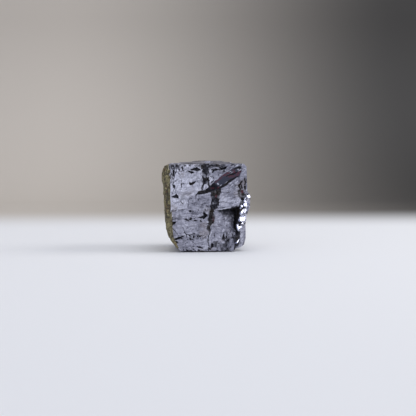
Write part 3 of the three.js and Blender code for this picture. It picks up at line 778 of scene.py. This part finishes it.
def crystal_masks(mesh):
    x, y, z = vectors(mesh.vertices, "co").T / MM
    side_tone, side_dirt = side_masks(x, y, z, vectors(mesh.vertex_normals, "vector"))
    on_front = ramp(-(y - FRONT - front_depth(x, z)), -0.5, -0.2)
    on_top = (1 - on_front) * ramp(z, 22.8, 23.2)
    outward = x * math.sin(EDGE_TURN) - y * math.cos(EDGE_TURN)
    on_edge = ramp(outward - edge_side(x, z), -0.25, -0.1) * ramp(x, 6, 7)
    # painted highlights on the facets of the broken edge and on its tip
    tip = ramp(x, 10.3, 10.6) * ramp(-y, 5, 6)
    facet = np.maximum(on_edge, tip) * ramp(facet_reach(x, z), -0.05, 0.05)
    calm = ramp(x, 8.9, 9.4) * ramp(-z, -6.6, -5.8) * on_edge
    gaps = edge_gaps(x, z, on_edge, facet, calm)

    # painted shade and soot in the pits and cracks, darker where they are deeper
    pit_shade_and_soot = ramp(pit_depth(x, z) + crack_depth(x, z) + small_pits(x, z), 0.01, 0.12)
    hollow = ramp(reach_inside(*hollow_ragged(x, z), HOLLOW), -0.05, 0.1)
    other = side_tone - 0.1 * ramp(-z, -9, -7.5) * ramp(-y, 4, 7) + on_edge * EDGE_TONE - 0.19 * calm
    film = on_top * (0.14 + 0.3 * ramp(-y, 4, 8) + 0.12 * noise(x, y, 0.9, 117))
    side_dirt = (1 - on_front) * (1 - on_edge) * side_dirt
    stain = ramp(outline_reach(*ragged(x, z, 36, 0.16, 0.12), STAINS), -0.1, 0.1)
    stain *= 0.6 + 0.4 * noise(x + z, z - x, 0.4, 112)
    glints = ramp(outline_reach(*ragged(x, z, 38, 0.08, 0.06), GLINTS), -0.06, 0.06)
    slivers = ramp(strokes(*front_ragged(x, z), 58, SLIVERS), -0.02, 0.06)
    tone = other + on_front * (front_tone(x, z, hollow) - other)
    # soot, and painted shade in the pits, cracks, gaps and hollow and along the terraces' edges
    dirt = np.max([front_dirt(x, z, pit_shade_and_soot, hollow) * on_front, 0.9 * gaps, film, side_dirt], axis=0)
    write(
        mesh,
        tone=np.clip(tone, 0, 1),
        dirt=np.clip(dirt, 0, 1),
        stain=stain * on_front,
        blade=ramp(blade_reach(x, z), -0.05, 0.08) * on_front,
        gleam=np.maximum(slivers, glints) * (1 - 0.7 * pit_shade_and_soot) * on_front,
        facet=facet * (1 - gaps),
    )


def build_crystal():
    body = crystal_body()
    crystal_masks(body.data)
    body.data.shade_smooth()
    body.data.set_sharp_from_angle(angle=math.radians(24))
    body.data.materials.clear()
    body.data.materials.append(galena_material())
    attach(body, "root")
    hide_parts("galena")


# ---- The rind ----

RIND_SIDE = [
    [1.2, -8.2], [2.2, -9.1], [3.4, -9.8], [4.7, -10.3], [6.5, -10.75], [9, -11], [12.8, -11.2],
    [18.4, -11.45], [19.8, -11.85], [20.7, -12.05], [21.8, -11.7], [23.4, -11.3],
]
RIND_TOP = [[-9.7, 23.8], [-7, 23.6], [-4.5, 22.9], [2, 22.7], [3, 22.1], [6, 21.7]]  # along y
RIND_ROWS, RIND_SIDE_POINTS, RIND_FRONT_POINTS = 190, 130, 26
TUCK = 0.5  # how deep the rind's inner side lies in the crystal
NOSE = 0.5  # how far back from its front end it is rounded
BLUNT = 0.6  # under 1, so that the nose is squarer than round
THINS_OVER = 5  # how much of its back end thins out
RAGGED_BACK = 0.9


def rind_loop(z, back, end):
    """A loop round the layer at one height: along its outer side, round the front and back inside."""
    front = RIND_LOW.y
    inner = profile(z, LEFT_SIDE)
    thick = (inner - profile(z, RIND_SIDE)) * end + 0.05
    y_side = front + NOSE + np.linspace(1, 0, RIND_SIDE_POINTS) * (back - front - NOSE)
    thin = ramp(-y_side, -back, -back + THINS_OVER)
    side = np.stack([inner - thick * thin + 0.25 * (1 - thin), y_side], -1)
    bend = np.linspace(0, 1, RIND_FRONT_POINTS + 2)[1:-1] * math.pi / 2
    nose_x = inner + TUCK - (thick + TUCK) * np.cos(bend) ** BLUNT
    nose = np.stack([nose_x, front + NOSE - NOSE * np.sin(bend) ** BLUNT], -1)
    loop = np.concatenate([side, nose, [[inner + TUCK, front], [inner + TUCK, back]]])
    return np.column_stack([loop, np.full(len(loop), z)])


def roughen(points):
    """Pushes all but the inner side of the loops out and in, and gives how far."""
    x, y, z = np.moveaxis(points, -1, 0)
    steps = np.hypot(np.diff(x, axis=1, prepend=x[:, :1]), np.diff(y, axis=1, prepend=y[:, :1]))
    around = np.cumsum(steps, axis=1)
    swell = 0.16 * fractal(around, z, 1.5, 120) + 0.1 * ramp(noise(around, z, 0.8, 125), 0, 0.8)
    push = swell + 0.05 * fractal(around, z, 0.45, 127, 3)
    along = np.gradient(points[..., :2], axis=1)
    out = np.stack([along[..., 1], -along[..., 0]], -1)
    out /= np.maximum(np.linalg.norm(out, axis=-1, keepdims=True), 1e-9)
    out[:, -2:] = 0
    points[..., :2] += out * push[..., None]
    return push


def loops_mesh(name, points):
    """A closed body through rows of loops, with a flat cap on the first and on the last."""
    rows, count, _ = points.shape
    at = np.arange(rows * count).reshape(rows, count)
    onward = np.roll(at, -1, axis=1)
    quads = np.stack([at[:-1], onward[:-1], onward[1:], at[1:]], -1).reshape(-1, 4)
    caps = [at[0, ::-1].tolist(), at[-1].tolist()]
    return mesh_object(name, points.reshape(-1, 3), quads.tolist() + caps)


def build_rind():
    """A thin layer on the left side, ragged at its back and rounded at its front."""
    z_rows = np.linspace(RIND_LOW.z - 0.9, RIND_HIGH.z + 0.5, RIND_ROWS)
    low, high = z_rows[0], z_rows[-1]
    backs = RIND_HIGH.y - RAGGED_BACK * (1 + fractal(z_rows, 0 * z_rows, 2.4, 131) / 1.6)
    backs = np.minimum(backs, RIND_HIGH.y)
    ends = np.minimum(ramp(z_rows, low, low + 2.2), ramp(-z_rows, -high, -high + 0.4))
    points = np.array([rind_loop(z, back, end) for z, back, end in zip(z_rows, backs, ends)])
    push = roughen(points)
    points[..., 0] = np.maximum(points[..., 0], RIND_LOW.x)
    y, z = points[..., 1], points[..., 2]
    lift = profile(y, RIND_TOP) + 0.15 * noise(y, z, 1.2, 129) - high
    points[..., 2] += lift * (z - low) / (high - low)
    rind = loops_mesh("rind_of_matrix", points)
    # painted shade in a band just behind the rind's rounded front end, along its outline
    soil = ramp(-np.abs(y - RIND_LOW.y - 0.9), -0.8, -0.3) * (0.7 + 0.5 * noise(y, z, 1.3, 133))
    write(rind.data, lumps=push / 0.25, soil=np.clip(soil, 0, 1))
    rind.data.shade_smooth()
    rind.data.materials.append(rind_material())
    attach(rind, "root")
    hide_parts("matrix_rind")


# ---- Materials ----


class Nodes:
    """A short way to write a material's nodes. A value can be a number, a colour or another node's output."""

    def __init__(self, name):
        self.material = bpy.data.materials.new(name)
        self.material.use_nodes = True
        self.tree = self.material.node_tree
        self.shader = self.tree.nodes["Principled BSDF"]
        self.place = self.node("TexCoord", {}).outputs["Object"]

    def link(self, value, socket):
        if isinstance(value, bpy.types.NodeSocket):
            self.tree.links.new(value, socket)
        else:
            socket.default_value = (*value, 1) if isinstance(value, tuple) else value

    def node(self, kind, values, **settings):
        """A new node, with values for some of its inputs."""
        node = self.tree.nodes.new("ShaderNode" + kind)
        for name, setting in settings.items():
            setattr(node, name, setting)
        for name, value in values.items():
            self.link(value, node.inputs[name])
        return node

    def read(self, name):
        return self.node("Attribute", {}, attribute_name=name).outputs["Fac"]

    def math(self, operation, a, b=0.0, c=0.0):
        return self.node("Math", {0: a, 1: b, 2: c}, operation=operation).outputs[0]

    def scaled(self, size, stretch, turn):
        """The place, turned, and scaled for lumps of that size in millimetres."""
        turn, scale = [math.radians(t) for t in turn], [s / (size * MM) for s in stretch]
        return self.node("Mapping", {"Vector": self.place, "Rotation": turn, "Scale": scale}).outputs[0]

    def texture(self, size, detail=4, rough=0.55, stretch=(1, 1, 1), turn=(0, 0, 0), warp=0.0):
        """Noise from 0 to 1 with lumps of that size in millimetres."""
        values = {"Scale": 1, "Detail": detail, "Roughness": rough, "Distortion": warp}
        values["Vector"] = self.scaled(size, stretch, turn)
        return self.node("TexNoise", values).outputs["Fac"]

    def blocks(self, size, stretch=(1, 1, 1), turn=(0, 0, 0)):
        """Angular cells of that size in millimetres, each with a value of its own from 0 to 1."""
        values = {"Scale": 1, "Vector": self.scaled(size, stretch, turn)}
        cells = self.node("TexVoronoi", values, distance="CHEBYCHEV")
        return self.node("SeparateColor", {0: cells.outputs["Color"]}).outputs[0]

    def hairlines(self, size, stretch):
        """1 on thin broken lines that run the way the noise is stretched."""
        wave = self.texture(size, 1, 0.4, stretch)
        away = self.math("ABSOLUTE", self.math("SUBTRACT", wave, 0.5))
        where = self.step(self.texture(1.3 * size, 4, 0.65, turn=(50, 20, 10)), 0.48, 0.56)
        return self.math("MULTIPLY", self.step(away, 0.004, 0.02, 1, 0), where)

    def step(self, value, low, high, out_low=0.0, out_high=1.0):
        values = dict(enumerate((value, low, high, out_low, out_high)))
        return self.node("MapRange", values, interpolation_type="SMOOTHSTEP").outputs[0]

    def mix(self, share, a, b):
        return self.node("Mix", {0: share, 6: a, 7: b}, data_type="RGBA").outputs[2]

    def bump(self, height, distance, strength=1.0, under=None):
        values = {"Strength": strength, "Distance": distance * MM, "Height": height}
        if under is not None:
            values["Normal"] = under
        return self.node("Bump", values).outputs[0]

    def finish(self, **sockets):
        for name, value in sockets.items():
            self.link(value, self.shader.inputs[name.replace("_", " ")])
        return self.material


LIGHT = (0.81, 0.82, 0.94)  # the metal at its brightest, and the colour of the painted highlights
MIDDLE = (0.362, 0.363, 0.44)
DEEP = (0.07, 0.07, 0.095)
# the colours of soot and of painted shade
SOOT_AND_SHADE = (0.011, 0.011, 0.016)
WARM_SOOT_AND_SHADE = (0.018, 0.0145, 0.011)
BLADE_GREY = (0.055, 0.06, 0.085)
MAROON = (0.12, 0.028, 0.042)
FACET_HIGHLIGHT = (0.52, 0.54, 0.66)
LAVENDER = (0.3, 0.32, 0.5)
WARM_FILM = (0.27, 0.235, 0.23)


def galena_material():
    """Bright lead-grey metal, dulled by soot and painted shade, with stain, the cast's film, painted
    highlights, and facets painted brighter on it.
    """
    n = Nodes("galena")
    tone, dirt, stain = map(n.read, ("tone", "dirt", "stain"))
    blade, gleam, facet = map(n.read, ("blade", "gleam", "facet"))
    slabs = n.blocks(1.4, (1, 1, 2.2))
    chips = n.blocks(0.6, (1, 1, 1.7), (25, 0, 35))
    broad = n.texture(2.6, 5, 0.6)
    mottle = n.texture(0.8, 6, 0.62, warp=0.6)
    specks = n.texture(0.36, 3, 0.6)
    film = n.texture(3.2, 3, 0.5, turn=(20, 40, 0))
    creases = n.texture(1.0, 5, 0.6, (0.35, 1, 1.8), (0, 8, 0), 0.8)
    share = tone
    for value, amount in ((slabs, 0.14), (chips, 0.18), (broad, 0.4), (mottle, 0.9), (creases, 0.9)):
        share = n.math("MULTIPLY_ADD", n.math("SUBTRACT", value, 0.5), amount, share)
    share = n.math("ADD", share, share)
    metal = n.mix(share, DEEP, MIDDLE)
    metal = n.mix(n.math("SUBTRACT", share, 1.0), metal, LIGHT)
    metal = n.mix(n.step(film, 0.54, 0.7, 0, 0.4), metal, WARM_FILM)
    lines = n.math("MAXIMUM", n.hairlines(1.2, (0.1, 0.1, 1)), n.hairlines(1.4, (1, 0.12, 0.12)))
    lines = n.math("MAXIMUM", lines, n.hairlines(1.3, (0.12, 1, 0.12)))
    marks = n.math("MAXIMUM", n.math("MULTIPLY", lines, 0.4), n.step(specks, 0.62, 0.72, 0, 0.85))
    metal = n.mix(marks, metal, SOOT_AND_SHADE)
    cast = n.mix(n.step(specks, 0.4, 0.68, 0, 0.7), BLADE_GREY, DEEP)
    metal = n.mix(blade, metal, cast)
    # painted highlights on the splinters and glints
    metal = n.mix(n.math("MULTIPLY", gleam, 0.8), metal, LIGHT)
    # soot and painted shade darken the metal here
    grime_and_shade = n.math("MULTIPLY", n.step(dirt, 0, 0.8), n.step(mottle, 0.35, 0.65, 1.0, 0.92))
    colour = n.mix(grime_and_shade, metal, n.mix(n.step(film, 0.46, 0.62), SOOT_AND_SHADE, WARM_SOOT_AND_SHADE))
    colour = n.mix(n.math("MULTIPLY", stain, n.step(specks, 0.3, 0.6, 0.5, 1)), colour, MAROON)
    # the facets painted brighter and bluer as highlights, besides the lamp's own reflection in them
    colour = n.mix(facet, colour, n.mix(n.step(mottle, 0.4, 0.52), LAVENDER, FACET_HIGHLIGHT))
    dull = n.math("MAXIMUM", grime_and_shade, stain)
    rough = n.step(mottle, 0.3, 0.75, 0.26, 0.46)
    rough = n.math("MULTIPLY_ADD", dull, 0.3, rough)
    rough = n.math("MULTIPLY", rough, n.math("MULTIPLY_ADD", facet, -0.4, 1.0))
    fine = n.texture(0.35, 5, 0.6)
    normal = n.bump(mottle, 0.05, 0.7)
    normal = n.bump(fine, 0.02, 0.7, normal)
    normal = n.bump(n.math("SUBTRACT", 1.0, lines), 0.03, 0.8, normal)
    return n.finish(
        Base_Color=colour,
        Metallic=n.math("SUBTRACT", 1.0, n.math("MULTIPLY", dull, 0.96)),
        Specular_IOR_Level=n.math("MULTIPLY_ADD", dull, -0.4, 0.5),
        Roughness=rough,
        Normal=normal,
    )


def rind_material():
    """Rough olive-brown rock with paler veins and grains, dark pores, a little rust, and painted shade along
    its outline.
    """
    n = Nodes("matrix_rind")
    lumps = n.read("lumps")
    broad = n.texture(1.0, 5, 0.65, (1, 1, 0.6), warp=0.6)
    grains = n.texture(0.36, 5, 0.65)
    veins = n.texture(0.6, 4, 0.6, (1.4, 1.4, 0.35), warp=0.5)
    rust = n.texture(1.1, 4, 0.6, turn=(30, 0, 50))
    colour = n.mix(n.step(broad, 0.4, 0.6), (0.035, 0.028, 0.016), (0.2, 0.175, 0.09))
    colour = n.mix(n.step(lumps, 0.1, 0.9, 0, 0.5), colour, (0.28, 0.245, 0.12))
    colour = n.mix(n.step(veins, 0.54, 0.67, 0, 0.75), colour, (0.42, 0.37, 0.18))
    colour = n.mix(n.step(grains, 0.58, 0.7, 0, 0.75), colour, (0.5, 0.46, 0.3))
    colour = n.mix(n.step(grains, 0.44, 0.36, 0, 0.9), colour, (0.014, 0.011, 0.008))
    colour = n.mix(n.step(rust, 0.57, 0.68, 0, 0.6), colour, (0.13, 0.062, 0.02))
    # the painted shade along the rind's outline
    colour = n.mix(n.math("MULTIPLY", n.read("soil"), 0.7), colour, (0.025, 0.02, 0.013))
    normal = n.bump(broad, 0.12, 0.8)
    normal = n.bump(grains, 0.07, 0.9, normal)
    return n.finish(Base_Color=colour, Roughness=n.step(grains, 0.3, 0.7, 0.55, 0.85), Normal=normal)


# ---- The stage ----

FLOOR_COLOUR = (0.8, 0.81, 0.83)
WALL_LEFT = (0.5, 0.46, 0.41)
WALL_RIGHT = (0.035, 0.033, 0.031)
FLOOR_HALF, FLOOR_NEAR = 900, -900
WALL_AT, WALL_BEND, WALL_TALL = 175, 90, 700  # where the floor turns up, how softly, and how high it goes
BELOW = 0.02  # keeps the floor off the block's underside
DARKENS_OVER = (0.055, 0.135)  # y in metres, where the floor's colour turns into the backdrop's
WALL_FADE = (-0.07, 0.125)  # x in metres, from the backdrop's left colour to its right one


def build_stage():
    """A pale floor that runs up into a backdrop."""
    turns = np.linspace(0, math.pi / 2, 24)
    arc = [(WALL_AT + WALL_BEND * math.sin(a), WALL_BEND - WALL_BEND * math.cos(a)) for a in turns]
    path = [(FLOOR_NEAR, 0.0), *arc, (WALL_AT + WALL_BEND, WALL_TALL)]
    points = np.array([(x, y, z - BELOW) for y, z in path for x in (-FLOOR_HALF, FLOOR_HALF)], float)
    faces = [(2 * i, 2 * i + 1, 2 * i + 3, 2 * i + 2) for i in range(len(path) - 1)]
    floor = mesh_object("floor", points, faces)
    floor.data.shade_smooth()
    n = Nodes("paper")
    position = n.node("SeparateXYZ", {0: n.place})
    wall = n.mix(n.step(position.outputs["X"], *WALL_FADE), WALL_LEFT, WALL_RIGHT)
    colour = n.mix(n.step(position.outputs["Y"], *DARKENS_OVER), FLOOR_COLOUR, wall)
    n.finish(Base_Color=colour, Roughness=0.7)
    floor.data.materials.append(n.material)


def area_light(name, place, size, power, colour=(1, 1, 1)):
    """A soft square light that looks at the middle of the block."""
    data = bpy.data.lights.new(name, "AREA")
    data.shape, data.size, data.energy, data.color = "SQUARE", size * MM, power, colour
    light = bpy.data.objects.new(name, data)
    light.location = Vector(place) * MM
    aim = Vector((0, 0, TOP / 2)) - Vector(place)
    light.rotation_euler = aim.to_track_quat("-Z", "Y").to_euler()
    bpy.context.scene.collection.objects.link(light)


def build_light():
    world = bpy.data.worlds.new("studio")
    world.use_nodes = True
    sky = world.node_tree.nodes["Background"]
    sky.inputs["Color"].default_value = (0.86, 0.89, 1, 1)
    sky.inputs["Strength"].default_value = 0.75
    bpy.context.scene.world = world
    area_light("window", (430, -17, 262), 200, 0.9, (1, 0.98, 0.95))
    area_light("overhead", (60, 60, 500), 420, 0.95)


# ---- The camera ----

LENS, SENSOR = 90, 36
VIEW_WIDE = 112.32  # how much of the front face's plane the picture takes in
CAMERA_AZIMUTH, CAMERA_ELEVATION = -3.5, 4.5
AIM_RIGHT, AIM_DOWN = 0.3, 0.2  # from the middle of the front face


def build_camera():
    azimuth, elevation = math.radians(CAMERA_AZIMUTH), math.radians(CAMERA_ELEVATION)
    level = math.cos(elevation)
    back = Vector((math.sin(azimuth) * level, -math.cos(azimuth) * level, math.sin(elevation)))
    target = Vector((AIM_RIGHT, FRONT, TOP / 2 - AIM_DOWN))
    data = bpy.data.cameras.new("camera")
    data.lens, data.sensor_width = LENS, SENSOR
    data.clip_start, data.clip_end = 0.001, 10
    camera = bpy.data.objects.new("camera", data)
    camera.location = (target + back * VIEW_WIDE * LENS / SENSOR) * MM
    camera.rotation_euler = (-back).to_track_quat("-Z", "Y").to_euler()
    bpy.context.scene.collection.objects.link(camera)
    bpy.context.scene.camera = camera


build_camera()
build_stage()
build_light()
build_crystal()
build_rind()
bpy.context.scene.view_settings.view_transform = "Standard"
